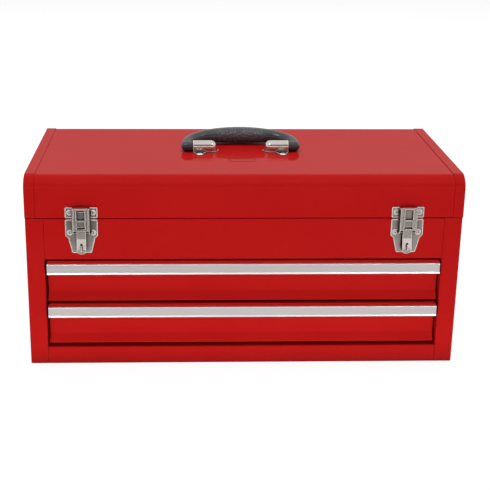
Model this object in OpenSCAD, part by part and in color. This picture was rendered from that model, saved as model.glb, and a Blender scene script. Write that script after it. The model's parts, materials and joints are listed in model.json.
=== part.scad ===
// Portable steel tool box: a hinged lid over an upper compartment, with ball-bearing drawers below.
// X runs left to right, the front faces -Y and Z points up from the underside of the case.

/* [Case] */
// Width over the side walls
case_w = 520; // [460:1:600]
// Depth of the case, front to back
case_d = 220; // [200:1:260]
// Thickness of the painted steel sheet
sheet = 1; // [0.8:0.05:1.2]
// Outer radius of the small folds
fold_r = 1.6; // [1.4:0.1:2.4]
// Width of the front flange on each side of the drawers
stile_w = 21.6; // [21:0.2:30]
// Height of the rail under the drawers
rail_h = 22; // [16:1:30]
// Height of the opening for the drawers
opening_h = 115; // [106:1:135]
// Height of the front panel above the drawers
panel_h = 52; // [50:0.5:100]
// Depth of the return fold around the opening
return_d = 15; // [10:0.5:16]
// Width of the flange around the top edge and of the lid's lower hem
rim_w = 9; // [6:0.5:14]
// Width of the flanges that wrap the back and the bottom
flange_w = 15; // [10:0.5:18]
// Gap between panels that butt against each other
panel_gap = 0.3; // [0.2:0.05:0.5]

/* [Lid] */
// Height of the lid above the seam
lid_h = 50; // [40:1:80]
// Gap between case and lid at the seam
seam_gap = 1; // [0.8:0.1:2]
// Outer radius of the lid's front edge
lid_front_r = 15.6; // [8:0.2:24]
// Outer radius of the lid's back edge
lid_back_r = 4; // [2.5:0.5:8]
// Width of the end cap's flange over the lid sheet
cap_flange = 12; // [8:0.5:20]
// Thickness of the end caps
cap_sheet = 0.8; // [0.6:0.1:1.2]
// Width of the pressed mark in front of the handle
mark_w = 34; // [20:1:60]
// Depth of the pressed mark in front of the handle
mark_d = 11; // [8:1:20]
// Depth of the pressed mark's outline
mark_cut = 0.5; // [0.2:0.05:0.6]
// Width of the pressed mark's outline
mark_line = 1.2; // [0.5:0.1:2]
// Distance of the mark's centre in front of the lid's middle
mark_y = 40.5; // [36:0.5:60]

/* [Drawers] */
// Gap between the lower drawer and the rail
gap_below = 3.5; // [2:0.5:6]
// Gap between the drawers
gap_between = 2; // [1.5:0.5:5]
// Gap above the upper drawer
gap_above = 1.5; // [1:0.5:4]
// Gap beside each drawer front
gap_side = 2.3; // [1:0.1:3]
// How far a drawer slides out
drawer_travel = 135; // [100:1:140]
// Distance of the drawer lip behind the case front
lip_set = 3.5; // [2:0.5:5]
// Depth of the finger recess behind the case front
recess_set = 8; // [6:0.5:13.5]
// Height of the lip under the recess
lip_h = 12; // [6:0.5:14]
// Height of the lip's upright edge
lip_edge_h = 2; // [1.5:0.5:4]
// Corner radius of a drawer front, seen from the front
front_corner_r = 3; // [2:0.5:10]
// Clearance of the tray under the top of the drawer front
tray_drop = 5; // [3:0.5:8]
// Height of the tray floor above the foot of the drawer front
tray_lift = 2; // [1.5:0.5:5]
// Free space between the tray and the back panel
tray_back_gap = 14; // [8:1:20]

/* [Drawer pulls] */
// Height of the aluminium pull
pull_h = 12.6; // [10:0.2:18]
// How far the pull stands in front of the case
pull_w = 4; // [3:0.5:9]
// How far the pull's lower lip stands in front of its face
pull_lip = 1.2; // [0.6:0.1:2]
// Height of the pull's lower lip
pull_lip_h = 2; // [1.2:0.2:3]
// Wall thickness of the pull
pull_wall = 1.2; // [1:0.1:1.6]
// Shortfall of the pull at each end of the drawer front
pull_inset = 0.3; // [0:0.1:4]

/* [Ball slides] */
// Height of the outer rail
slide_h = 27; // [25:0.5:30]
// Depth of the outer rail's flanges
slide_d = 8; // [7.6:0.1:9]
// Thickness of both rails
slide_sheet = 1; // [0.8:0.1:1.2]
// Height of the inner rail
inner_h = 18; // [16:0.5:20]
// Clearance of a ball in its race, on each side
ball_clear = 0.05; // [0.03:0.01:0.08]
// Clearance between a ball and its pocket in the cage
pocket_clear = 0.08; // [0.05:0.01:0.1]
// Thickness of the ball cage
cage_sheet = 0.6; // [0.5:0.05:0.7]
// Number of balls in a row
balls_in_row = 4; // [3:1:6]
// Gap between the cage and the ends of both rails when the drawer is out
cage_end_gap = 2.6; // [1:0.2:6]
// Clearance at the ends of the rails
rail_end_gap = 3; // [2:0.5:6]

/* [Hinge] */
// Distance from each end of the hinge to the side wall
hinge_inset = 20; // [19:1:60]
// Height of each hinge leaf
hinge_leaf_h = 20; // [12:1:28]
// Thickness of the hinge leaves
leaf_sheet = 1; // [0.8:0.1:1.2]
// Outer radius of the hinge knuckles
knuckle_r = 2.2; // [2:0.1:3]
// Radius of the hinge pin
hinge_pin_r = 1; // [0.8:0.05:1.2]
// Radial clearance of the pins in hinge and latches
pin_clear = 0.05; // [0.03:0.01:0.08]
// Clearance between the knuckles and the lid
knuckle_clear = 0.3; // [0.25:0.05:0.6]
// Number of knuckles
knuckles = 13; // [7:2:21]
// Gap between neighbouring knuckles
knuckle_gap = 0.3; // [0.2:0.05:0.5]

/* [Latches] */
// Distance of each latch centre from the side wall's outer face
latch_inset = 66.7; // [50:0.5:120]
// Half width of the lever
lever_half = 5.5; // [5:0.1:8]
// Clearance between the lever and the ears of the base plate
ear_gap = 1.3; // [0.5:0.1:2]
// Thickness of the ears
ear_sheet = 1.2; // [1:0.1:1.5]
// Clearance between the lever pin and the claw's sides
claw_side_gap = 0.4; // [0.3:0.1:1]
// Height of the keeper plate
keeper_h = 13.2; // [13:0.2:18]
// Distance of the keeper plate above the seam
keeper_lift = 1; // [0.8:0.1:2]
// Distance of the base plate below the seam
base_drop = 0.8; // [0.7:0.1:2]
// Height of the base plate's full-width part
base_shoulder = 20.8; // [20:0.1:26]
// Whole height of the base plate
base_h = 42.2; // [40:0.2:46]
// Width of the base plate's foot
base_foot_w = 23; // [18:0.5:30]
// Thickness of the latch steel
latch_sheet = 1; // [0.9:0.05:1.1]
// Height of the claw's raised ribs
claw_rib_h = 0.5; // [0.3:0.1:0.8]
// Height of the pressed rim on the latch plates
latch_rim_h = 0.5; // [0.3:0.1:0.6]
// Width of the pressed rim on the latch plates
latch_rim_w = 1.2; // [0.8:0.1:1.6]
// Clearance between the rivet heads and the claw
rivet_claw_gap = 0.3; // [0.2:0.1:1]
// Clearance between the rivet heads and the pressed rim
rivet_rim_gap = 0.5; // [0.3:0.1:1.5]
// Radius of the latch pins
latch_pin_r = 1.2; // [1:0.05:1.3]

/* [Rivets] */
// Radius of the rivet heads
rivet_head_r = 3.6; // [2.8:0.1:4]
// Height of the rivet heads
rivet_head_h = 1.3; // [0.9:0.1:1.4]
// Radius of the rivet shanks
rivet_r = 1.6; // [1.2:0.1:1.8]
// Radial clearance of the rivet shanks
rivet_clear = 0.1; // [0.05:0.05:0.2]

/* [Handle] */
// Distance of each bracket's open end from the middle of the lid
bracket_end = 60.5; // [55:0.5:66]
// Length of a bracket's straight part
bracket_len = 22.5; // [18:0.5:26]
// Width of the foot round each bracket
bracket_foot = 1.6; // [1.2:0.1:3]
// Thickness of the bracket steel
bracket_sheet = 1.2; // [1:0.1:1.5]
// Radius of the grip's round ends inside the brackets
stub_r = 5.8; // [5:0.1:6.2]
// Clearance of the grip's ends in the brackets
stub_clear = 0.3; // [0.25:0.05:0.5]
// Step of the grip outside each bracket
grip_collar = 0.4; // [0.3:0.1:0.6]
// Radius of the grip in the middle
grip_mid_r = 10.5; // [8:0.5:11]
// Radius of the grip beside its elbows
grip_bend_r = 6.9; // [6.2:0.1:7.2]
// Distance of the grip's middle from its pivot
grip_reach = 37; // [34:1:48]
// Gap under the grip when it lies on the lid
grip_rest_gap = 0.6; // [0.5:0.1:1.5]
// Width of the stiffening plate under the handle
stiffener_w = 150; // [140:1:200]
// Depth of the stiffening plate under the handle
stiffener_d = 60; // [54:1:90]

/* [Hidden] */
$fn = 48;

red = [0.68, 0.05, 0.05];
nickel = [0.62, 0.58, 0.54];
zinc = [0.72, 0.73, 0.75];
silver = [0.8, 0.8, 0.82];
black = [0.12, 0.12, 0.13];

arc_step = 9;      // largest angle between two points of a drawn arc
eps = 0.01;        // overshoot of cuts

// Case
half_w = case_w / 2;
half_d = case_d / 2;
front_y = -half_d;
wall_in = half_w - sheet;
open_half = half_w - stile_w;
open_z0 = rail_h;
open_z1 = rail_h + opening_h;
case_h = open_z1 + panel_h;
fold_in = fold_r - sheet;    // inner radius of the small folds
back_in = half_d - 2 * sheet;
floor_z = open_z1 + sheet;

// Lid
seam_z = case_h + seam_gap / 2;
lid_z0 = case_h + seam_gap;
lid_z1 = lid_z0 + lid_h;
lid_half = half_w - cap_sheet;

// Drawers
drawer_h = (opening_h - gap_below - gap_between - gap_above) / 2;
drawer_half = open_half - gap_side;
tray_front = front_y + recess_set + sheet;
tray_back = back_in - tray_back_gap;
pull_top_drop = 3.3;    // the pull's top lies this far under the drawer front's top
pull_z = drawer_h - pull_top_drop - pull_h;
seat_drop = 0.6;        // the pull's seat runs on this far under it
recess_slope = 7;       // fall of the recess's ceiling
front_folds = [1.5, 1.4, 4, 5, 1.2, 1.2];
pull_folds = [1.2, 0.6, 0.2, 0.2];
lip_foot = 0.5;         // height of the pull's sharp lower edge

// Slides: rail_x is the face of the runner panel, tray_half the outer face of the tray
rail_x = open_half;
rail_gap = 1.4;         // free space between the outer rail's flanges and the tray
cage_gap = 0.5;         // free space between the outer rail's web and the cage
web_gap = 1.3;          // free space between the cage's web and the inner rail
cage_flange_d = 6;
tray_half = rail_x - slide_d - rail_gap;
race = (slide_h - inner_h) / 2 - slide_sheet;
ball_r = race / 2 - ball_clear;
race_z = inner_h / 2 + race / 2;
runner_y0 = front_y + return_d + 2;
runner_y1 = back_in - 8;
rail_y0 = runner_y0 + 1;
rail_y1 = runner_y1 - 2;
inner_y0 = rail_y0;
inner_y1 = tray_back - rail_end_gap;
// with the drawer out, the cage fills the stretch that both rails still share
cage_mid = (rail_y0 + inner_y1) / 2;
cage_len = inner_y1 - rail_y0 - drawer_travel - 2 * cage_end_gap;
ball_pitch = (cage_len - 4 * ball_r) / (balls_in_row - 1);
first_ball_y = cage_mid - cage_len / 2 + 2 * ball_r;
ball_x = rail_x - slide_sheet - slide_d / 2;
cage_web_x = rail_x - slide_sheet - cage_gap;
inner_flange = cage_web_x - cage_sheet - web_gap - tray_half;

// Hinge
axis_y = half_d + knuckle_r + knuckle_clear;
hinge_half = half_w - hinge_inset;
knuckle_len = 2 * hinge_half / knuckles;

// Latch, in its own frame: u across, w outward from the case front, v up from the seam
latch_x = half_w - latch_inset;
ear_in = lever_half + ear_gap;
ear_out = ear_in + ear_sheet;
pin_half = ear_out + 0.6;
claw_half = pin_half + claw_side_gap + latch_sheet;
plate_rivet_x = claw_half + rivet_claw_gap + rivet_head_r;
latch_half = plate_rivet_x + rivet_head_r + rivet_rim_gap + latch_rim_w;
rim_top = latch_sheet + latch_rim_h;
over_rim = rim_top + 0.3;       // nearest that the claw comes to the plates
boss_r = latch_pin_r + 0.7;     // bosses round the pins
base_top = -base_drop;
base_foot_v = base_top - base_h;
base_shoulder_v = base_top - base_shoulder;
base_rivet_v = base_shoulder_v + rivet_head_r + 0.5;
keeper_top = keeper_lift + keeper_h;
keeper_rivet_v = keeper_lift + keeper_h / 2;
lever_v = -7;                   // lever pivot
lever_w = rim_top + 3.1;
claw_v = -17;                   // claw pivot on the lever
claw_w = rim_top + 1.7;
hook_w = rim_top + 4;           // inner face of the keeper's hook
claw_web_w = hook_w + latch_sheet + 1;
claw_out = claw_web_w + latch_sheet;
claw_top = keeper_top + 0.6;
claw_foot = claw_v + 3.8;       // lower edge of the claw's front
claw_rib_r = 1.2;               // round ribs along the claw's edges
window_half = 4.75;             // window of the claw, over the hook
staple_v = base_foot_v + 9;     // middle of the padlock staple
staple_half = 3.25;
staple_w = 11;
lever_tip_v = base_foot_v - 0.2;
// the lever's web runs over these points, in (y, z): it leans in to the knee and flares out below it
lever_head = [-lever_w - 1.8, lever_v - 4];
lever_knee = [-claw_w - 2.6, claw_v - 6.6];
lever_heel = [-rim_top - 7, lever_tip_v + lever_half];
lever_end = [-rim_top - 4.6, lever_tip_v - 0.1];

// Handle
pivot_h = stub_r + grip_collar + 0.4;
pivot_z = lid_z1 + pivot_h;
bracket_r = stub_r + stub_clear + bracket_sheet;
grip_tilt = asin((grip_mid_r + grip_rest_gap - pivot_h) / grip_reach);
handle_rivet_x = bracket_end - 8;
handle_rivet_y = -bracket_r - 10.6;

// ---- Drawing helpers ----

function unit(v) = v / norm(v);
function left_of(d) = [-d.y, d.x];
function turned(v, a) = [v.x * cos(a) - v.y * sin(a), v.x * sin(a) + v.y * cos(a)];
function reversed(list) = [for (k = [len(list) - 1:-1:0]) list[k]];

// Arc of radius r that rounds the corner a-b-c, shifted sideways by o (to the left of the path)
function corner(a, b, c, r, o) =
    let (
        d1 = unit(b - a),
        d2 = unit(c - b),
        s = sign(cross(d1, d2)),
        bend = acos(min(1, d1 * d2)),
        centre = b - d1 * r * tan(bend / 2) + left_of(d1) * s * r,
        n = max(2, ceil(bend / arc_step))
    )
    [for (k = [0:n]) centre + turned(-left_of(d1) * s, s * bend * k / n) * (r - s * o)];

// Open path with rounded corners, shifted sideways by o
function bent(p, r, o = 0) =
    let (last = len(p) - 1)
    concat(
        [p[0] + left_of(unit(p[1] - p[0])) * o],
        [for (i = [1:last - 1]) each corner(p[i - 1], p[i], p[i + 1], r[i - 1], o)],
        [p[last] + left_of(unit(p[last] - p[last - 1])) * o]
    );

// Closed outline with rounded corners, inset by o; the points run anticlockwise
function ring(p, r, o = 0) =
    let (n = len(p))
    [for (i = [0:n - 1]) each corner(p[(i + n - 1) % n], p[i], p[(i + 1) % n], r, o)];

function box_points(x0, y0, x1, y1) = [[x0, y0], [x1, y0], [x1, y1], [x0, y1]];

// Folded sheet along the path p; it lies t to the left of the path
module bent_sheet(p, r, t) {
    polygon(concat(bent(p, r), reversed(bent(p, r, t))));
}

module block(x0, x1, y0, y1, z0, z1) {
    translate([x0, y0, z0]) cube([x1 - x0, y1 - y0, z1 - z0]);
}

// Extrudes a drawing in (y, z) from x0 to x1
module along_x(x0, x1) {
    translate([x0, 0, 0]) rotate([90, 0, 90]) linear_extrude(x1 - x0) children();
}

// Extrudes a drawing in (x, z) from y0 to y1
module along_y(y0, y1) {
    translate([0, y1, 0]) rotate([90, 0, 0]) linear_extrude(y1 - y0) children();
}

module rod_x(x0, x1, r) {
    translate([x0, 0, 0]) rotate([0, 90, 0]) cylinder(h = x1 - x0, r = r);
}

module on_right() {
    mirror([1, 0, 0]) children();
}

module both_sides() {
    children();
    on_right() children();
}

// ---- Case ----

// Left side wall with its front, back, top and bottom flanges
module side_panel() {
    corner_path = [
        [-open_half, front_y], [-half_w, front_y], [-half_w, half_d], [-half_w + flange_w, half_d]
    ];
    return_path = concat([[-open_half, front_y + return_d]], corner_path);
    folds = [fold_r, fold_r];
    color(red) {
        linear_extrude(open_z0) bent_sheet(corner_path, folds, -sheet);
        translate([0, 0, open_z0])
            linear_extrude(opening_h) bent_sheet(return_path, concat(fold_r, folds), -sheet);
        translate([0, 0, open_z1]) linear_extrude(case_h - open_z1) bent_sheet(corner_path, folds, -sheet);
        block(-wall_in - eps, -half_w + rim_w, front_y + sheet, back_in, case_h - sheet, case_h);
        block(-wall_in - eps, -half_w + flange_w, front_y + 2 * sheet + panel_gap, back_in, sheet, 2 * sheet);
    }
}

module side_left() {
    side_panel();
}

module side_right() {
    on_right() side_panel();
}

module back_panel() {
    y = half_d - sheet;
    color(red) {
        along_x(-wall_in + fold_in, wall_in - fold_in)
            bent_sheet([[y, sheet], [y, case_h - sheet]], [], sheet);
        along_x(-half_w + rim_w + panel_gap, half_w - rim_w - panel_gap)
            bent_sheet([[y, case_h - 3 * fold_r], [y, case_h], [half_d - rim_w, case_h]], [fold_r], sheet);
    }
}

module bottom_panel() {
    front_lip = 14;
    color(red) {
        block(-wall_in + fold_in, wall_in - fold_in, front_y + sheet, half_d - sheet, 0, sheet);
        block(-open_half, open_half, front_y + sheet, front_y + 2 * sheet, 0, front_lip);
    }
}

module front_top_panel() {
    half = open_half - panel_gap;
    path = [
        [front_y + return_d, open_z1], [front_y, open_z1], [front_y, case_h], [front_y + rim_w, case_h]
    ];
    tab_w = 10;
    color(red) difference() {
        union() {
            along_x(-half, half) bent_sheet(path, [fold_r, fold_r], -sheet);
            both_sides() {
                block(half - tab_w, half + tab_w, front_y + sheet, front_y + 2 * sheet,
                    open_z1 + tab_w, case_h - tab_w);
                block(half - tab_w, half - panel_gap, front_y + sheet / 2, front_y + 1.5 * sheet,
                    open_z1 + tab_w, case_h - tab_w);
            }
        }
        both_latches() plate_rivets(base_rivet_v) rivet_hole();
    }
}

module front_bottom_rail() {
    half = open_half - panel_gap;
    path = [[front_y + return_d, open_z0], [front_y, open_z0], [front_y, 0]];
    color(red) along_x(-half, half) bent_sheet(path, [fold_r], sheet);
}

module compartment_floor() {
    color(red) block(-wall_in, wall_in, front_y + fold_r, back_in, floor_z, floor_z + sheet);
}

// Hat-shaped panel that carries the slides in line with the edge of the opening
module runner_panel() {
    path = [[-wall_in, runner_y0], [-rail_x, runner_y0], [-rail_x, runner_y1], [-wall_in, runner_y1]];
    z0 = open_z0 + sheet;
    color(red) translate([0, 0, z0])
        linear_extrude(open_z1 - sheet - z0) bent_sheet(path, [fold_r, fold_r], sheet);
}

module runner_panel_left() {
    runner_panel();
}

module runner_panel_right() {
    on_right() runner_panel();
}

// ---- Drawers and slides; level 0 is the lower drawer, level 1 the upper one ----

function drawer_z(level) = open_z0 + gap_below + level * (drawer_h + gap_between);
function slide_z(level) = drawer_z(level) + drawer_h / 2;

// Channel section in (x, z), open towards the middle: web at x, height h, flanges d deep
module channel(x, h, d, t) {
    path = [[x + d, -h / 2], [x, -h / 2], [x, h / 2], [x + d, h / 2]];
    bent_sheet(path, [t + 0.3, t + 0.3], -t);
}

module outer_rail(level) {
    color(zinc) translate([0, 0, slide_z(level)])
        along_y(rail_y0, rail_y1) channel(-rail_x, slide_h, slide_d, slide_sheet);
}

module inner_rail(level) {
    color(zinc) translate([0, 0, slide_z(level)])
        along_y(inner_y0, inner_y1) mirror([1, 0]) channel(tray_half, inner_h, inner_flange, slide_sheet);
}

// Places its children at the balls of one slide
module at_balls(level) {
    for (row = [-1, 1], k = [0:balls_in_row - 1])
        translate([-ball_x, first_ball_y + k * ball_pitch, slide_z(level) + row * race_z]) children();
}

module ball_cage(level) {
    h = 2 * race_z + cage_sheet;
    color(silver) difference() {
        translate([0, 0, slide_z(level)])
            along_y(cage_mid - cage_len / 2, cage_mid + cage_len / 2)
                channel(-cage_web_x, h, cage_flange_d, cage_sheet);
        at_balls(level) cylinder(h = 4 * cage_sheet, r = ball_r + pocket_clear, center = true);
    }
}

module balls(level) {
    color(silver) at_balls(level) sphere(r = ball_r);
}

module drawer_tray(level) {
    z0 = drawer_z(level) + tray_lift;
    z1 = drawer_z(level) + drawer_h - tray_drop;
    color(red) difference() {
        block(-tray_half, tray_half, tray_front, tray_back, z0, z1);
        block(-tray_half + sheet, tray_half - sheet, tray_front + sheet, tray_back - sheet,
            z0 + sheet, z1 + 1);
    }
}

// Section of a drawer front in (depth behind the case front, height), as a path over its outside
function front_path() = [
    [recess_set + sheet, drawer_h],
    [0, drawer_h],
    [0, pull_z - seat_drop],
    [recess_set, pull_z - seat_drop - recess_slope],
    [recess_set, lip_h],
    [lip_set, lip_edge_h],
    [lip_set, 0],
    [recess_set + sheet, 0]
];

module drawer_front(level) {
    end_depth = 1;
    shape = box_points(-drawer_half, -front_corner_r * 2, drawer_half, drawer_h);
    color(red) translate([0, front_y, drawer_z(level)]) intersection() {
        union() {
            along_x(-drawer_half, drawer_half) bent_sheet(front_path(), front_folds, sheet);
            both_sides()
                along_x(drawer_half - end_depth, drawer_half) polygon(bent(front_path(), front_folds));
        }
        along_y(-pull_w, recess_set + 2) polygon(ring(shape, front_corner_r));
    }
}

// Aluminium extrusion with a rounded top edge and a lip that flares out at the foot
module drawer_pull(level) {
    top = pull_z + pull_h;
    outside = [
        [0, top], [-pull_w, top], [-pull_w, pull_z + pull_lip_h],
        [-pull_w - pull_lip, pull_z + lip_foot], [-pull_w - pull_lip, pull_z], [-pull_w + pull_wall, pull_z]
    ];
    inside = [[-pull_w + pull_wall, top - pull_wall], [0, top - pull_wall]];
    half = drawer_half - pull_inset;
    color(silver) translate([0, front_y, drawer_z(level)]) {
        along_x(-half, half)
            polygon(concat(bent(outside, pull_folds), inside));
    }
}

module upper_outer_rail_left() { outer_rail(1); }
module upper_outer_rail_right() { on_right() outer_rail(1); }
module lower_outer_rail_left() { outer_rail(0); }
module lower_outer_rail_right() { on_right() outer_rail(0); }
module upper_drawer_tray() { drawer_tray(1); }
module upper_drawer_front() { drawer_front(1); }
module upper_drawer_pull() { drawer_pull(1); }
module upper_inner_rail_left() { inner_rail(1); }
module upper_inner_rail_right() { on_right() inner_rail(1); }
module lower_drawer_tray() { drawer_tray(0); }
module lower_drawer_front() { drawer_front(0); }
module lower_drawer_pull() { drawer_pull(0); }
module lower_inner_rail_left() { inner_rail(0); }
module lower_inner_rail_right() { on_right() inner_rail(0); }
module upper_ball_cage_left() { ball_cage(1); }
module upper_ball_cage_right() { on_right() ball_cage(1); }
module lower_ball_cage_left() { ball_cage(0); }
module lower_ball_cage_right() { on_right() ball_cage(0); }
module upper_balls_left() { balls(1); }
module upper_balls_right() { on_right() balls(1); }
module lower_balls_left() { balls(0); }
module lower_balls_right() { on_right() balls(0); }

// ---- Piano hinge; its axis lies behind the seam ----

module knuckle_row(first) {
    for (k = [first:2:knuckles - 1])
        translate([-hinge_half + k * knuckle_len + knuckle_gap / 2, 0, 0]) children();
}

// Leaf in the hinge's own frame, going down from the axis; leaf_y is its outer face
module hinge_leaf(first, leaf_y) {
    own_len = knuckle_len - knuckle_gap;
    inner_y = leaf_y - leaf_sheet;
    leaf_top = -knuckle_r - knuckle_clear;
    difference() {
        union() {
            block(-hinge_half, hinge_half, inner_y, leaf_y, leaf_top - hinge_leaf_h, leaf_top);
            knuckle_row(first) {
                rod_x(0, own_len, knuckle_r);
                block(0, own_len, inner_y, leaf_y, leaf_top - 0.1, -knuckle_r + leaf_sheet);
                block(0, own_len, inner_y, 0, -knuckle_r, -knuckle_r + leaf_sheet);
            }
        }
        rod_x(-half_w, half_w, hinge_pin_r + pin_clear);
    }
}

module at_hinge() {
    translate([0, axis_y, seam_z]) children();
}

module hinge_case_leaf() {
    color(nickel) at_hinge() hinge_leaf(0, half_d - sheet + leaf_sheet - axis_y);
}

module hinge_lid_leaf() {
    color(nickel) at_hinge() mirror([0, 0, 1]) hinge_leaf(1, half_d + leaf_sheet - axis_y);
}

module hinge_pin() {
    color(zinc) at_hinge() rod_x(-hinge_half, hinge_half, hinge_pin_r);
}

// ---- Lid ----

// Outline of the lid in (y, z), inset by o; its foot lies drop below the lid's lower edge
module lid_outline(o, drop = 0) {
    y0 = -half_d + o;
    y1 = half_d - o;
    z0 = lid_z0 - drop;
    z1 = lid_z1 - o;
    polygon(bent([[y0, z0], [y0, z1], [y1, z1], [y1, z0]], [lid_front_r - o, lid_back_r - o]));
}

module lid_sheet() {
    mark = box_points(-mark_w / 2, -mark_d / 2, mark_w / 2, mark_d / 2);
    mark_r = 1.5;
    color(red) difference() {
        along_x(-lid_half, lid_half) difference() {
            lid_outline(0);
            difference() {
                lid_outline(sheet, eps);
                for (y = [-half_d, half_d - rim_w])
                    translate([y, lid_z0]) square([rim_w, sheet]);
            }
        }
        translate([0, -mark_y, lid_z1 - mark_cut]) linear_extrude(2 * mark_cut) difference() {
            polygon(ring(mark, mark_r));
            polygon(ring(mark, mark_r, mark_line));
        }
        both_latches() plate_rivets(keeper_rivet_v) rivet_hole();
        both_sides() at_handle_rivet() rivet_hole();
    }
}

// Left end cap: a pressed plate whose flange wraps the lid sheet
module lid_end() {
    x1 = -half_w + cap_flange;
    hem_y = half_d - rim_w - panel_gap;
    color(red) {
        difference() {
            along_x(-half_w, x1) lid_outline(-cap_sheet);
            along_x(-lid_half, x1 + 1) lid_outline(0, eps);
        }
        block(-lid_half - eps, -half_w + rim_w, -hem_y, hem_y, lid_z0, lid_z0 + cap_sheet);
    }
}

module lid_end_left() {
    lid_end();
}

module lid_end_right() {
    on_right() lid_end();
}

module lid_stiffener() {
    z1 = lid_z1 - sheet;
    color(red) difference() {
        block(-stiffener_w / 2, stiffener_w / 2, -stiffener_d / 2, stiffener_d / 2, z1 - sheet, z1);
        both_sides() at_handle_rivet() rivet_hole();
    }
}

// ---- Rivets; in their own frame the head stands on +Z and the shank goes down ----

module rivet_hole() {
    cylinder(h = 8 * rivet_r, r = rivet_r + rivet_clear, center = true);
}

// grip is the thickness of the sheets that the rivet joins
module rivet(grip) {
    blind_r = rivet_r + 1;
    blind_h = 0.8;
    dimple_r = 0.7 * rivet_r;
    dimple_h = 0.6;
    edge_h = 0.15;
    dome_r = (rivet_head_r * rivet_head_r / rivet_head_h + rivet_head_h) / 2 + edge_h;
    difference() {
        union() {
            intersection() {
                cylinder(h = rivet_head_h, r = rivet_head_r);
                translate([0, 0, rivet_head_h - dome_r]) sphere(r = dome_r);
            }
            translate([0, 0, -grip - blind_h / 2]) cylinder(h = grip + blind_h, r = rivet_r);
            translate([0, 0, -grip - blind_h]) cylinder(h = blind_h, r = blind_r);
        }
        translate([0, 0, rivet_head_h - dimple_h]) cylinder(h = 2 * dimple_h, r = dimple_r);
    }
}

module at_handle_rivet() {
    translate([-handle_rivet_x, handle_rivet_y, lid_z1]) children();
}

// Turns +Z to the front and places the children at a plate's rivets
module plate_rivets(v) {
    for (u = [-plate_rivet_x, plate_rivet_x])
        translate([u, 0, v]) rotate([90, 0, 0]) children();
}

// ---- Latches, drawn at the left one: u is X, the outside is -Y, v is Z ----

module at_latch() {
    translate([-latch_x, front_y, seam_z]) children();
}

module both_latches() {
    both_sides() at_latch() children();
}

// Extrudes a drawing in (u, v) from w0 to w1 outward
module outward(w0, w1) {
    along_y(-w1, -w0) children();
}

// Plate with a pressed rim along its outline; the children are cut out of the rim
module rimmed_plate(p, r) {
    outward(0, latch_sheet) polygon(ring(p, r));
    outward(0, rim_top) difference() {
        polygon(ring(p, r));
        polygon(ring(p, r, latch_rim_w));
        children();
    }
}

// Base plate with ears for the lever pin, a pressed pad between them and a padlock staple
module latch_base() {
    foot = base_foot_w / 2;
    waist = latch_half - 3.2;
    waist_v = base_shoulder_v - 2.6;
    outline = [
        [-foot, base_foot_v], [foot, base_foot_v], [waist, waist_v], [latch_half, base_shoulder_v],
        [latch_half, base_top], [-latch_half, base_top], [-latch_half, base_shoulder_v], [-waist, waist_v]
    ];
    corner_r = 2;
    ear_r = boss_r + 0.6;
    root = latch_sheet / 2;
    pad = box_points(-4.5, lever_v - 2, 4.5, lever_v + 5);
    staple_sheet = 1.2;
    hole_r = 1.2;
    hole_w = staple_w - hole_r - 0.6;
    color(nickel) at_latch() difference() {
        union() {
            rimmed_plate(outline, corner_r);
            both_sides() along_x(ear_in, ear_out) {
                translate([-lever_w, lever_v]) circle(r = ear_r);
                translate([-lever_w, lever_v - ear_r]) square([lever_w - root, 2 * ear_r]);
            }
            along_x(-staple_sheet / 2, staple_sheet / 2)
                polygon(box_points(-staple_w, staple_v - staple_half, -root, staple_v + staple_half));
            outward(0, rim_top) polygon(pad);
        }
        translate([0, -lever_w, lever_v]) rod_x(-latch_half, latch_half, latch_pin_r + pin_clear);
        translate([0, -hole_w, staple_v]) rod_x(-staple_sheet, staple_sheet, hole_r);
        plate_rivets(base_rivet_v) rivet_hole();
    }
}

// Keeper plate on the lid: two rimmed wings, and a hook between them
module latch_keeper() {
    wing = claw_half - 0.2;
    wing_r = 1.6;
    middle = wing + 2 * wing_r;
    hook_half = window_half - 0.35;
    hook_v = keeper_lift + 4;
    hook = [[-latch_sheet / 2, hook_v - 2.5], [-hook_w, hook_v], [-hook_w, keeper_top - 4]];
    hook_face = box_points(-hook_half, -0.8, hook_half, keeper_top - 4);
    wing_outline = box_points(wing, keeper_lift, latch_half, keeper_top);
    open_side = box_points(
        wing - eps, keeper_lift + latch_rim_w, latch_half - 2 * wing_r, keeper_top - latch_rim_w
    );
    color(nickel) at_latch() difference() {
        union() {
            both_sides()
                rimmed_plate(wing_outline, wing_r) polygon(open_side);
            outward(0, latch_sheet) polygon(box_points(-middle, keeper_lift, middle, keeper_top - 2));
            along_x(-hook_half, hook_half) bent_sheet(hook, [2], latch_sheet);
            outward(hook_w, hook_w + latch_sheet) polygon(hook_face);
        }
        plate_rivets(keeper_rivet_v) rivet_hole();
    }
}

// Side plate of the lever in (y, z): bosses at both pivots, joined to the web
module lever_cheek() {
    translate([-lever_w, lever_v]) circle(r = boss_r);
    translate([-claw_w, claw_v]) circle(r = boss_r);
    polygon([
        [-lever_w + boss_r, lever_v], [-claw_w + boss_r, claw_v], [-claw_w, claw_v - boss_r],
        lever_knee + [0.8, 0.1], lever_head + [0.4, -0.6], [-lever_w - boss_r, lever_v]
    ]);
}

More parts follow.
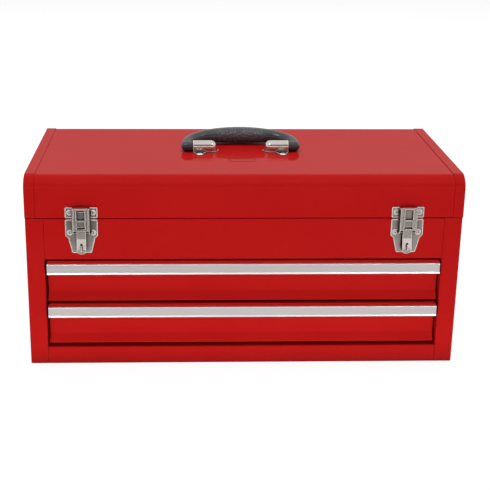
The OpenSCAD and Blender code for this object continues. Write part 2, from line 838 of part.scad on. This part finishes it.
module latch_lever() {
    web = [lever_head, lever_knee, lever_heel, lever_end];
    web_folds = [2.2, 3];
    slot_half = 1.3;
    slot_v0 = staple_v - staple_half - 1.3;
    slot_v1 = staple_v + staple_half + 1.5;
    tip_r = lever_half - 0.3;
    tip_v = lever_tip_v + tip_r;
    color(nickel) at_latch() difference() {
        union() {
            intersection() {
                along_x(-lever_half, lever_half) bent_sheet(web, web_folds, latch_sheet);
                outward(0, 2 * staple_w) union() {
                    polygon(box_points(-lever_half, tip_v, lever_half, 0));
                    translate([0, tip_v]) circle(r = tip_r);
                }
            }
            both_sides() along_x(lever_half - latch_sheet, lever_half) lever_cheek();
        }
        translate([0, -lever_w, lever_v]) rod_x(-latch_half, latch_half, latch_pin_r + pin_clear);
        translate([0, -claw_w, claw_v]) rod_x(-latch_half, latch_half, latch_pin_r + pin_clear);
        outward(0, 2 * staple_w) polygon(box_points(-slot_half, slot_v0, slot_half, slot_v1));
    }
}

// Claw: a front with a window over the hook, two sides down to its pin, and a lip at the top
module latch_claw() {
    inner = claw_half - latch_sheet;
    side_top = claw_top - 2;
    front = box_points(-claw_half, claw_foot, claw_half, claw_top);
    front_r = 1;
    lip = box_points(-claw_half + 2.6, claw_top - latch_sheet, claw_half - 2.6, claw_top);
    frame_half = window_half + 1.3;
    frame = box_points(-frame_half, claw_foot, frame_half, claw_top - 0.4);
    window = box_points(-window_half, keeper_lift - 0.7, window_half, claw_top - 2);
    pocket = box_points(-window_half + 0.4, claw_foot + 4.2, window_half - 0.4, claw_foot + 11.9);
    slot = box_points(-window_half - 0.1, claw_foot + 2.3, window_half + 0.1, claw_foot + 4.3);
    notch = box_points(claw_half - 2.7, claw_foot + 12.8, claw_half - 1.5, claw_foot + 14.2);
    rib_x = claw_half - claw_rib_r;
    rib_w = claw_out + claw_rib_h - claw_rib_r;
    through = 2 * claw_out;
    color(nickel) at_latch() difference() {
        union() {
            outward(claw_web_w, claw_out) polygon(ring(front, front_r));
            outward(claw_web_w, claw_out + claw_rib_h) polygon(ring(frame, front_r / 2));
            outward(hook_w + 0.5, claw_out) polygon(lip);
            both_sides() {
                difference() {
                    translate([rib_x, -rib_w, claw_foot + 0.3])
                        cylinder(h = side_top - claw_foot, r = claw_rib_r);
                    outward(0, claw_web_w) polygon(box_points(0, claw_foot, inner, claw_top));
                }
                along_x(inner, claw_half) {
                    polygon(box_points(-claw_out, claw_foot, -over_rim, side_top));
                    translate([-claw_w, claw_v]) circle(r = boss_r);
                    polygon([
                        [-claw_out, claw_foot], [-claw_out + 1.5, claw_foot - 2], [-claw_w - boss_r, claw_v],
                        [-over_rim, claw_v], [-over_rim, claw_foot]
                    ]);
                }
            }
        }
        outward(0, through) polygon(window);
        outward(claw_out - 0.6, through) polygon(pocket);
        outward(0, through) polygon(slot);
        both_sides() outward(claw_web_w - latch_sheet, through) polygon(notch);
        translate([0, -claw_w, claw_v]) rod_x(-latch_half, latch_half, latch_pin_r + pin_clear);
    }
}

module lever_pin() {
    color(zinc) at_latch() translate([0, -lever_w, lever_v]) rod_x(-pin_half, pin_half, latch_pin_r);
}

module claw_pin() {
    color(zinc) at_latch() translate([0, -claw_w, claw_v]) rod_x(-claw_half, claw_half, latch_pin_r);
}

module latch_base_left() { latch_base(); }
module latch_base_right() { on_right() latch_base(); }
module latch_keeper_left() { latch_keeper(); }
module latch_keeper_right() { on_right() latch_keeper(); }
module latch_lever_left() { latch_lever(); }
module latch_lever_right() { on_right() latch_lever(); }
module latch_claw_left() { latch_claw(); }
module latch_claw_right() { on_right() latch_claw(); }
module lever_pin_left() { lever_pin(); }
module lever_pin_right() { on_right() lever_pin(); }
module claw_pin_left() { claw_pin(); }
module claw_pin_right() { on_right() claw_pin(); }

module latch_base_rivets() {
    color(nickel) both_latches() plate_rivets(base_rivet_v)
        translate([0, 0, latch_sheet]) rivet(latch_sheet + sheet);
}

module latch_keeper_rivets() {
    color(nickel) both_latches() plate_rivets(keeper_rivet_v)
        translate([0, 0, latch_sheet]) rivet(latch_sheet + sheet);
}

// ---- Handle; the grip's pivot runs along X over the middle of the lid ----

// Left bracket: a half round saddle with a closed, rounded inner end, on a foot with a rivet lobe
module handle_bracket() {
    ball_c = -bracket_end + bracket_len;
    inner_r = bracket_r - bracket_sheet;
    foot_r = bracket_r + bracket_foot;
    lobe_r = rivet_head_r + 0.9;
    lobe_root = -foot_r + 1;
    tongue = foot_r + 0.8;
    color(nickel) translate([0, 0, lid_z1]) difference() {
        union() {
            saddle(ball_c, bracket_r, -bracket_end);
            linear_extrude(bracket_sheet) {
                translate([-bracket_end, -foot_r]) square([bracket_len, 2 * foot_r]);
                translate([ball_c, 0]) circle(r = foot_r);
                polygon([
                    [ball_c, -foot_r + 1], [ball_c + tongue, -1], [ball_c + tongue, 1], [ball_c, foot_r - 1]
                ]);
                translate([-handle_rivet_x, handle_rivet_y]) circle(r = lobe_r);
                polygon([
                    [-bracket_end, lobe_root], [-handle_rivet_x - lobe_r, handle_rivet_y],
                    [-handle_rivet_x + lobe_r, handle_rivet_y], [-handle_rivet_x + 2 * lobe_r, lobe_root]
                ]);
            }
        }
        translate([0, 0, -eps]) saddle(ball_c, inner_r, -bracket_end - 1);
        translate([-handle_rivet_x, handle_rivet_y, 0]) rivet_hole();
    }
}

// Upright D-shaped bar from x0 to the ball end at x1, standing on z = 0
module saddle(x1, r, x0) {
    difference() {
        union() {
            along_x(x0, x1) {
                translate([0, pivot_h]) circle(r = r);
                translate([-r, 0]) square([2 * r, pivot_h]);
            }
            translate([x1, 0, pivot_h]) sphere(r = r);
            translate([x1, 0, 0]) cylinder(h = pivot_h, r = r);
        }
        block(x0 - 1, x1 + 2 * r, -2 * r, 2 * r, -2 * r, 0);
    }
}

module handle_bracket_left() {
    handle_bracket();
}

module handle_bracket_right() {
    on_right() handle_bracket();
}

module handle_rivets() {
    color(nickel) both_sides() at_handle_rivet()
        translate([0, 0, bracket_sheet]) rivet(bracket_sheet + 2 * sheet);
}

// Middle line of the right half of the grip, from the elbow to the middle, as a cubic curve
function cubic(p, t) =
    p[0] * pow(1 - t, 3) + 3 * p[1] * pow(1 - t, 2) * t + 3 * p[2] * (1 - t) * t * t + p[3] * pow(t, 3);
collar_r = stub_r + grip_collar;
elbow_x = bracket_end + 9;
grip_line = [
    [elbow_x, 0], [elbow_x - 1.5, grip_reach - 5], [elbow_x * 0.6, grip_reach], [0, grip_reach]
];
grip_root_r = collar_r - 0.2;   // the sweep starts inside the elbow
grip_steps = 20;
grip_sides = 24;

function grip_half() = [for (k = [0:grip_steps]) cubic(grip_line, k / grip_steps)];

// Radius at a point of the middle line: it swells from the elbows to the middle
swell_depth = 13;
function grip_radius(p) =
    p.y < swell_depth
        ? grip_root_r + (grip_bend_r - grip_root_r) * sin(90 * p.y / swell_depth)
        : grip_bend_r + (grip_mid_r - grip_bend_r) * pow(cos(90 * min(1, abs(p.x) / (elbow_x - 7))), 1.3);

module grip_sweep() {
    half = grip_half();
    line = concat(half, [for (p = reversed(half)) if (p.x > eps) [-p.x, p.y]]);
    last = len(line) - 1;
    function ahead(i) = unit(line[min(last, i + 1)] - line[max(0, i - 1)]);
    points = [
        for (i = [0:last], s = [0:grip_sides - 1])
            let (
                a = 360 * s / grip_sides,
                r = grip_radius(line[i]),
                n = left_of(ahead(i)) * r * cos(a)
            )
            [line[i].x + n.x, line[i].y + n.y, r * sin(a)]
    ];
    quads = [
        for (i = [0:last - 1], s = [0:grip_sides - 1])
            let (q = (s + 1) % grip_sides, b = i * grip_sides)
            [b + s, b + grip_sides + s, b + grip_sides + q, b + q]
    ];
    first_cap = [for (s = [0:grip_sides - 1]) s];
    last_cap = [for (s = [grip_sides - 1:-1:0]) last * grip_sides + s];
    polyhedron(points, concat([first_cap], quads, [last_cap]));
}

// Right end of the grip: a stub in the bracket, a collar outside it and a round elbow
module grip_end() {
    stub_end = bracket_end - bracket_len + 4;
    collar_x = bracket_end + 1;
    dome_steps = 8;
    dome = [
        for (k = [0:dome_steps])
            let (a = 90 * k / dome_steps)
            [collar_r * cos(a), elbow_x + collar_r * sin(a)]
    ];
    neck = [[0, stub_end], [stub_r, stub_end], [stub_r, collar_x], [collar_r, collar_x]];
    rotate([0, 90, 0]) rotate_extrude($fn = grip_sides) polygon(concat(neck, dome));
}

module handle_grip() {
    color(black) translate([0, 0, pivot_z]) rotate([grip_tilt, 0, 0]) {
        grip_sweep();
        both_sides() grip_end();
    }
}

side_left();
side_right();
back_panel();
bottom_panel();
front_top_panel();
front_bottom_rail();
compartment_floor();
runner_panel_left();
runner_panel_right();
upper_outer_rail_left();
upper_outer_rail_right();
lower_outer_rail_left();
lower_outer_rail_right();
hinge_case_leaf();
hinge_pin();
latch_base_left();
latch_base_right();
latch_base_rivets();
lever_pin_left();
lever_pin_right();
lid_sheet();
lid_end_left();
lid_end_right();
lid_stiffener();
hinge_lid_leaf();
latch_keeper_left();
latch_keeper_right();
latch_keeper_rivets();
handle_bracket_left();
handle_bracket_right();
handle_rivets();
handle_grip();
latch_lever_left();
latch_lever_right();
claw_pin_left();
claw_pin_right();
latch_claw_left();
latch_claw_right();
upper_drawer_tray();
upper_drawer_front();
upper_drawer_pull();
upper_inner_rail_left();
upper_inner_rail_right();
lower_drawer_tray();
lower_drawer_front();
lower_drawer_pull();
lower_inner_rail_left();
lower_inner_rail_right();
upper_ball_cage_left();
upper_ball_cage_right();
upper_balls_left();
upper_balls_right();
lower_ball_cage_left();
lower_ball_cage_right();
lower_balls_left();
lower_balls_right();
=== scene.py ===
"""Looks of a portable steel tool box with drawers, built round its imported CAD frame."""
import json
import math

import bpy
from mathutils import Matrix, Vector

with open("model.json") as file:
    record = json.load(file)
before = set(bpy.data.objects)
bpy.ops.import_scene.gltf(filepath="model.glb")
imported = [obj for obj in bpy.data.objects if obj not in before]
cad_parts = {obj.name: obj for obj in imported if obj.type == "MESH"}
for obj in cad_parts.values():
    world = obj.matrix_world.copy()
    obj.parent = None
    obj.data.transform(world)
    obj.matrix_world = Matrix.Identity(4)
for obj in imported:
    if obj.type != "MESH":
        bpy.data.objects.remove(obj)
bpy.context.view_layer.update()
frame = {"nodes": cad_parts, "record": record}

MM = 0.001
LID_SEAM = 189.5 * MM    # height of the gap under the lid
CLAW_FACE = -115.5 * MM  # depth of the claws' frames, before the plates of the latches
FOOT = 3 * MM            # height of the screens' lower edges, just over the floor
BOX_MIDDLE = (0, 0, 80 * MM)
HANDLE_MIDDLE = (0, 0, 250 * MM)


def new_object(name, data):
    thing = bpy.data.objects.new(name, data)
    bpy.context.scene.collection.objects.link(thing)
    return thing


# ---- Camera: the photograph's place and angle, found from the box's own edges ----

FRAME_PX = 490           # side of the square picture
FOCAL_PX = 969.6         # focal length, in pixels of the picture
SHIFT_PX = (35.0, -100.0)
SENSOR_MM = 36.0
CAMERA_PLACE = Vector((-75.3, -1186.8, 591.8)) * MM
YAW = math.radians(1.75)
PITCH = math.radians(16.16)
ROLL = math.radians(0.51)


def make_camera():
    data = bpy.data.cameras.new("camera")
    camera = new_object("camera", data)
    bpy.context.scene.camera = camera
    data.sensor_width = SENSOR_MM
    data.lens = FOCAL_PX / FRAME_PX * SENSOR_MM
    data.shift_x, data.shift_y = (shift / FRAME_PX for shift in SHIFT_PX)
    ahead = Vector((math.sin(YAW), math.cos(YAW), 0))
    forward = ahead * math.cos(PITCH) - Vector((0, 0, math.sin(PITCH)))
    level = Vector((math.cos(YAW), -math.sin(YAW), 0))
    upright = level.cross(forward)
    right = level * math.cos(ROLL) + upright * math.sin(ROLL)
    up = upright * math.cos(ROLL) - level * math.sin(ROLL)
    turn = Matrix((right, up, -forward)).transposed()
    camera.matrix_world = Matrix.Translation(CAMERA_PLACE) @ turn.to_4x4()


make_camera()


# ---- Node helpers ----

class Nodes:
    """A node tree with short ways to add and link nodes. A value is a socket or a plain value."""

    def __init__(self, tree):
        self.tree = tree

    def add(self, kind, **settings):
        node = self.tree.nodes.new(kind)
        for name, value in settings.items():
            setattr(node, name, value)
        return node

    def feed(self, target, value):
        """Links a socket to the input; anything else becomes the input's default value."""
        if isinstance(value, bpy.types.NodeSocket):
            self.tree.links.new(value, target)
        else:
            target.default_value = value

    def put(self, node, **values):
        """Feeds inputs by name."""
        for name, value in values.items():
            self.feed(node.inputs[name.replace("_", " ")], value)
        return node

    def worked(self, operation, *values):
        """Result of a Math node."""
        node = self.add("ShaderNodeMath", operation=operation)
        for target, value in zip(node.inputs, values):
            self.feed(target, value)
        return node.outputs["Value"]

    def noise(self, scale, detail=2.0, vector=None):
        node = self.add("ShaderNodeTexNoise")
        self.put(node, Vector=vector or self.place(), Scale=scale, Detail=detail)
        return node.outputs["Fac"]

    def cells(self, scale):
        """Distance from the middles of scattered cells."""
        node = self.add("ShaderNodeTexVoronoi")
        return self.put(node, Vector=self.place(), Scale=scale).outputs["Distance"]

    def place(self):
        """The object's own coordinates, in metres."""
        return self.add("ShaderNodeTexCoord").outputs["Object"]

    def along(self, axis):
        return self.put(self.add("ShaderNodeSeparateXYZ"), Vector=self.place()).outputs[axis]

    def away(self, axis, middle):
        """Distance from a place on the axis, to either side."""
        return self.worked("ABSOLUTE", self.worked("SUBTRACT", self.along(axis), middle))

    def stretched(self, scale):
        node = self.add("ShaderNodeMapping")
        self.put(node, Vector=self.place(), Scale=scale)
        return node.outputs["Vector"]

    def ranged(self, value, low, high, from_low=0.3, from_high=0.7):
        """Goes from low to high as value goes from from_low to from_high, the usual span of a noise."""
        node = self.add("ShaderNodeMapRange")
        self.put(node, Value=value, From_Min=from_low, From_Max=from_high, To_Min=low, To_Max=high)
        return node.outputs["Result"]

    def tinted(self, value, low, high, from_low=0.3, from_high=0.7):
        """Colour between low and high, as value goes from from_low to from_high."""
        node = self.put(self.add("ShaderNodeValToRGB"), Fac=value)
        ramp = node.color_ramp.elements
        ramp[0].position, ramp[1].position = from_low, from_high
        ramp[0].color, ramp[1].color = (*low, 1), (*high, 1)
        return node.outputs["Color"]

    def bump(self, height, distance, strength=1.0, normal=None):
        node = self.add("ShaderNodeBump")
        self.put(node, Height=height, Distance=distance, Strength=strength)
        if normal:
            self.put(node, Normal=normal)
        return node.outputs["Normal"]

    def rounded(self, radius):
        """Normal that rounds the edges off at a small radius."""
        return self.put(self.add("ShaderNodeBevel", samples=6), Radius=radius).outputs["Normal"]

    def near_edge(self, radius):
        """1 at the edges and 0 on the faces away from them."""
        turned = self.add("ShaderNodeVectorMath", operation="DOT_PRODUCT")
        self.feed(turned.inputs[0], self.rounded(radius))
        self.feed(turned.inputs[1], self.add("ShaderNodeNewGeometry").outputs["Normal"])
        return self.ranged(turned.outputs["Value"], 0.0, 1.0, 0.998, 0.975)

    def openness(self, distance):
        """1 on open faces, towards 0 in corners and recesses."""
        node = self.add("ShaderNodeAmbientOcclusion", samples=8)
        return self.put(node, Distance=distance).outputs["AO"]

    def mixed(self, share, low, high):
        """Colour low where share is 0 and high where it is 1; each is a colour or a socket."""
        node = self.add("ShaderNodeMix", data_type="RGBA")
        self.feed(node.inputs["Factor"], share)
        # the colour sockets come after those for numbers and vectors
        for target, colour in zip(node.inputs[6:8], (low, high)):
            self.feed(target, colour if isinstance(colour, bpy.types.NodeSocket) else (*colour, 1))
        return node.outputs[2]


def new_material(name):
    material = bpy.data.materials.new(name)
    material.use_nodes = True
    tree = Nodes(material.node_tree)
    return material, tree, material.node_tree.nodes["Principled BSDF"]


# ---- Materials, one for each slot of the record ----

def red_paint():
    """Gloss enamel on steel, very faintly uneven; painted shade in its deep gaps and folds, least at the
    lid's seam.
    """
    material, t, shader = new_material("red_paint")
    coat = t.tinted(t.noise(9.0, 3.0), (0.440, 0.0078, 0.0072), (0.465, 0.0092, 0.0086))
    # painted shade: deep gaps and folds turn dark and lose their gloss
    unshaded = t.ranged(t.openness(5 * MM), 0.0, 1.0, 0.25, 0.60)
    # painted shade colour: near black, but much lighter within a few millimetres of the lid's seam
    at_seam = t.ranged(t.away("Z", LID_SEAM), 1.0, 0.0, 4.5 * MM, 9.5 * MM)
    painted_shade = t.mixed(at_seam, (0.06, 0.001, 0.001), (0.40, 0.007, 0.006))
    t.put(
        shader,
        Base_Color=t.mixed(unshaded, painted_shade, coat),
        Roughness=t.ranged(t.noise(60.0, 3.0), 0.015, 0.035),
        IOR=1.12,
        Specular_Tint=(1.0, 0.97, 0.92, 1),
        Specular_IOR_Level=t.ranged(unshaded, 0.1, 0.5, 0.0, 1.0),
        Normal=t.bump(t.noise(500.0, 2.0), 0.008 * MM, 0.4, t.rounded(0.4 * MM)),
    )
    return material


def latch_nickel():
    """Bright nickel plate on pressed steel, with painted shade in its recesses and a white painted
    highlight along the edges.
    """
    material, t, shader = new_material("latch_nickel")
    marks = t.noise(1.0, 3.0, t.stretched((900, 900, 120)))
    plate = t.tinted(t.noise(90.0, 3.0), (0.56, 0.50, 0.465), (0.64, 0.58, 0.545))
    # painted shade: recesses turn dark brown
    unshaded = t.ranged(t.openness(9 * MM), 0.0, 1.0, 0.38, 0.85)
    # painted highlight: open edges turn white and less metallic, in a narrower band on the claws' frames
    # than behind them
    highlight_radius = t.ranged(t.along("Y"), 0.9 * MM, 1.6 * MM, CLAW_FACE, CLAW_FACE + 1.5 * MM)
    raised = t.ranged(t.openness(2.5 * MM), 0.0, 1.0, 0.72, 0.90)
    edge = t.worked("MULTIPLY", t.near_edge(highlight_radius), raised)
    t.put(
        shader,
        Base_Color=t.mixed(edge, t.mixed(unshaded, (0.05, 0.035, 0.025), plate), (1.0, 0.93, 0.87)),
        Metallic=t.ranged(edge, 1.0, 0.30, 0.0, 1.0),
        Roughness=t.ranged(marks, 0.16, 0.24),
        Normal=t.bump(marks, 0.006 * MM, 0.5, t.rounded(0.5 * MM)),
    )
    return material


def slide_zinc():
    """Zinc plate with small spangles, and painted shade that turns its recesses near black."""
    material, t, shader = new_material("slide_zinc")
    spangle = t.cells(420.0)
    plate = t.tinted(spangle, (0.50, 0.51, 0.53), (0.64, 0.65, 0.67), 0.0, 0.9)
    # painted shade: recesses turn near black
    unshaded = t.ranged(t.openness(30 * MM), 0.0, 1.0, 0.30, 0.85)
    t.put(
        shader,
        Base_Color=t.mixed(unshaded, (0.02, 0.02, 0.02), plate),
        Metallic=1.0,
        Roughness=t.ranged(spangle, 0.28, 0.42, 0.0, 0.9),
        Normal=t.bump(t.noise(900.0), 0.01 * MM, 0.5, t.rounded(0.2 * MM)),
    )
    return material


def pull_aluminium():
    """Satin anodised extrusion; its die lines run along the pull."""
    material, t, shader = new_material("pull_aluminium")
    lines = t.noise(1.0, 3.0, t.stretched((4, 2200, 2200)))
    t.put(
        shader,
        Base_Color=t.tinted(lines, (0.81, 0.775, 0.785), (0.90, 0.865, 0.875)),
        Metallic=0.9,
        Roughness=t.ranged(lines, 0.30, 0.40),
        Normal=t.bump(lines, 0.01 * MM, 0.5, t.rounded(0.3 * MM)),
    )
    return material


def bearing_steel():
    """Polished balls with a trace of grease."""
    material, t, shader = new_material("bearing_steel")
    film = t.noise(500.0, 2.0)
    t.put(
        shader,
        Base_Color=t.tinted(film, (0.60, 0.60, 0.61), (0.72, 0.72, 0.73)),
        Metallic=1.0,
        Roughness=t.ranged(film, 0.06, 0.16),
        Normal=t.bump(film, 0.004 * MM, 0.4),
    )
    return material


def grip_plastic():
    """Charcoal plastic, with a leather grain along the middle and smooth towards its ends."""
    material, t, shader = new_material("grip_plastic")
    grain = t.cells(430.0)
    grained = t.ranged(t.away("X", 0.0), 1.0, 0.0, 24 * MM, 40 * MM)
    relief = t.bump(grain, 0.7 * MM, t.ranged(grained, 0.10, 1.0, 0.0, 1.0))
    spots = t.tinted(grain, (0.022, 0.021, 0.026), (0.085, 0.082, 0.094), 0.15, 0.70)
    t.put(
        shader,
        Base_Color=t.mixed(grained, (0.046, 0.044, 0.052), spots),
        Roughness=t.ranged(grained, 0.21, 0.30, 0.0, 1.0),
        IOR=1.5,
        Normal=t.bump(t.noise(1500.0, 3.0), 0.02 * MM, 0.5, relief),
    )
    return material


MATERIALS = {
    make.__name__: make()
    for make in (
        red_paint, latch_nickel, slide_zinc, pull_aluminium, bearing_steel, grip_plastic
    )
}


# ---- The CAD nodes keep their shape and get their finish ----

def soft_edges_group():
    """Geometry nodes that join the frame's split corners and shade its shallow folds smooth."""
    group = bpy.data.node_groups.new("soft_edges", "GeometryNodeTree")
    for side in ("INPUT", "OUTPUT"):
        group.interface.new_socket("Geometry", in_out=side, socket_type="NodeSocketGeometry")
    t = Nodes(group)
    start = t.add("NodeGroupInput").outputs["Geometry"]
    bare = t.put(t.add("GeometryNodeRemoveAttribute"), Geometry=start, Name="custom_normal")
    joined = t.add("GeometryNodeMergeByDistance")
    t.put(joined, Geometry=bare.outputs["Geometry"], Distance=0.001 * MM)
    smooth = t.add("GeometryNodeSetShadeSmooth", domain="FACE")
    t.put(smooth, Geometry=joined.outputs["Geometry"], Shade_Smooth=True)
    steep = t.add("FunctionNodeCompare", operation="GREATER_THAN")
    fold = t.add("GeometryNodeInputMeshEdgeAngle").outputs["Unsigned Angle"]
    t.feed(steep.inputs[0], fold)
    t.feed(steep.inputs[1], math.radians(25))
    sharp = t.add("GeometryNodeSetShadeSmooth", domain="EDGE")
    t.put(sharp, Geometry=smooth.outputs["Geometry"], Selection=steep.outputs["Result"], Shade_Smooth=False)
    t.put(t.add("NodeGroupOutput"), Geometry=sharp.outputs["Geometry"])
    return group


def smooth_grip(grip):
    """Blends the grip's elbows and facets into one moulded surface."""
    for modifier in list(grip.modifiers):
        grip.modifiers.remove(modifier)
    skin = grip.modifiers.new("skin", "REMESH")
    skin.mode = "VOXEL"
    skin.voxel_size = 0.6 * MM
    skin.use_smooth_shade = True
    even = grip.modifiers.new("even", "SMOOTH")
    even.factor = 0.5
    even.iterations = 14


def finish_nodes():
    slots = {part["node"]: part["material_slot"] for part in frame["record"]["subparts"]}
    soft_edges = soft_edges_group()
    for name, node in frame["nodes"].items():
        for slot in node.material_slots:
            slot.material = MATERIALS[slots[name]]
        node.modifiers.new("soft_edges", "NODES").node_group = soft_edges
        weighted = node.modifiers.new("weighted_normals", "WEIGHTED_NORMAL")
        weighted.keep_sharp = True
        weighted.weight = 100
    smooth_grip(frame["nodes"]["handle_grip"])


finish_nodes()


# ---- Stage: pale floor, white background, soft studio light ----

def white_to_eye(t):
    """1 for rays that see the background themselves or in a gloss, 0 for the light on surfaces."""
    rays = t.add("ShaderNodeLightPath").outputs
    seen = t.worked("MAXIMUM", rays["Is Camera Ray"], rays["Is Glossy Ray"])
    return t.worked("MAXIMUM", seen, rays["Is Transmission Ray"])


def make_world():
    world = bpy.data.worlds.new("studio")
    bpy.context.scene.world = world
    world.use_nodes = True
    t = Nodes(world.node_tree)
    background = world.node_tree.nodes["Background"]
    t.put(background, Color=(1, 1, 1, 1), Strength=t.ranged(white_to_eye(t), 0.26, 1.0, 0.0, 1.0))


def make_sheet(name, reach, start, end):
    """A flat sheet of the stage between two points of the side view (y, z), and its reach to each side."""
    mesh = bpy.data.meshes.new(name)
    corners = [(x, y, z) for y, z in (start, end) for x in (-reach, reach)]
    mesh.from_pydata(corners, [], [(0, 1, 3, 2)])
    material, t, shader = new_material(name)
    mesh.materials.append(material)
    sheet = new_object(name, mesh)
    return sheet, t, shader


def make_floor():
    """Pale floor; the share of plain white in what is seen of it leaves only a soft shadow."""
    _, t, shader = make_sheet("floor", 6.0, (-6.0, 0), (6.0, 0))
    t.put(shader, Base_Color=(0.90, 0.90, 0.90, 1), Roughness=0.9, Specular_IOR_Level=0.1)
    glow = t.put(t.add("ShaderNodeEmission"), Color=(1, 1, 1, 1), Strength=1.12)
    blend = t.add("ShaderNodeMixShader")
    t.put(blend, Fac=t.ranged(white_to_eye(t), 0.0, 0.8, 0.0, 1.0))
    t.feed(blend.inputs[1], shader.outputs["BSDF"])
    t.feed(blend.inputs[2], glow.outputs["Emission"])
    t.put(t.tree.nodes["Material Output"], Surface=blend.outputs["Shader"])


def make_mirrored(name, start, end, axis, levels, places):
    """A bright sheet that shows only in gloss and metal. Its light goes from the first to the second
    level between two places along the axis; the first level may be a pair, for left and right."""
    screen, t, shader = make_sheet(name, 3.0, start, end)
    t.put(shader, Base_Color=(0, 0, 0, 1), Specular_IOR_Level=0.0, Emission_Color=(1, 0.97, 0.95, 1))
    first, last = levels
    if isinstance(first, tuple):
        first = t.ranged(t.along("X"), *first, -0.2, 0.2)
    t.put(shader, Emission_Strength=t.ranged(t.along(axis), first, last, *places))
    for kind in ("camera", "diffuse", "transmission", "shadow"):
        setattr(screen, f"visible_{kind}", False)


def make_studio():
    """The table is grey from half a metre out, more so on the left. The wall behind the camera is
    dark above its white foot, and the backdrop is greyer towards its foot."""
    for screen in (
        ("table", (-3.0, FOOT), (-0.125, FOOT), "Y", ((0.19, 0.36), 0.58), (-0.56, -0.42)),
        ("wall", (-3.0, FOOT), (-3.0, 3.0), "Z", (1.3, 0.22), (0.65, 0.80)),
        ("backdrop", (3.0, FOOT), (3.0, 1.4), "Z", (0.60, 1.0), (1.05, 1.40)),
    ):
        make_mirrored(*screen)


def make_light(name, place, aim, size, watts):
    """An area lamp, its size in metres, that the camera does not see."""
    data = bpy.data.lights.new(name, "AREA")
    data.shape = "RECTANGLE"
    data.size, data.size_y = size
    data.energy = watts
    light = new_object(name, data)
    light.location = place
    light.rotation_euler = (Vector(aim) - Vector(place)).to_track_quat("-Z", "Y").to_euler()
    light.visible_camera = False
    return light


make_world()
make_floor()
make_studio()
# wide soft lamps for the light on surfaces, then two small ones that only glint in the gloss
for name, place, aim, size, watts in (
    ("key", (-1.3, -1.6, 1.0), BOX_MIDDLE, (0.5, 0.5), 5),
    ("fill", (1.3, -1.6, 1.0), BOX_MIDDLE, (0.5, 0.5), 4),
    ("front", (0, -1.0, 0.04), BOX_MIDDLE, (2.4, 0.06), 4.1),
    ("bounce", (0, -0.165, 0.004), (0, -0.165, 1), (0.56, 0.07), 0.13),
    ("top", (0, 0.3, 2.5), BOX_MIDDLE, (2.0, 1.4), 42),
    ("back", (0, 2.2, 1.6), BOX_MIDDLE, (2.0, 1.2), 16),
):
    make_light(name, place, aim, size, watts).visible_glossy = False
for name, place in (("glint left", (-0.72, -1.1, 1.8)), ("glint right", (0.97, -1.1, 1.9))):
    make_light(name, place, HANDLE_MIDDLE, (0.2, 0.2), 6).visible_diffuse = False

bpy.context.scene.view_settings.view_transform = "Standard"
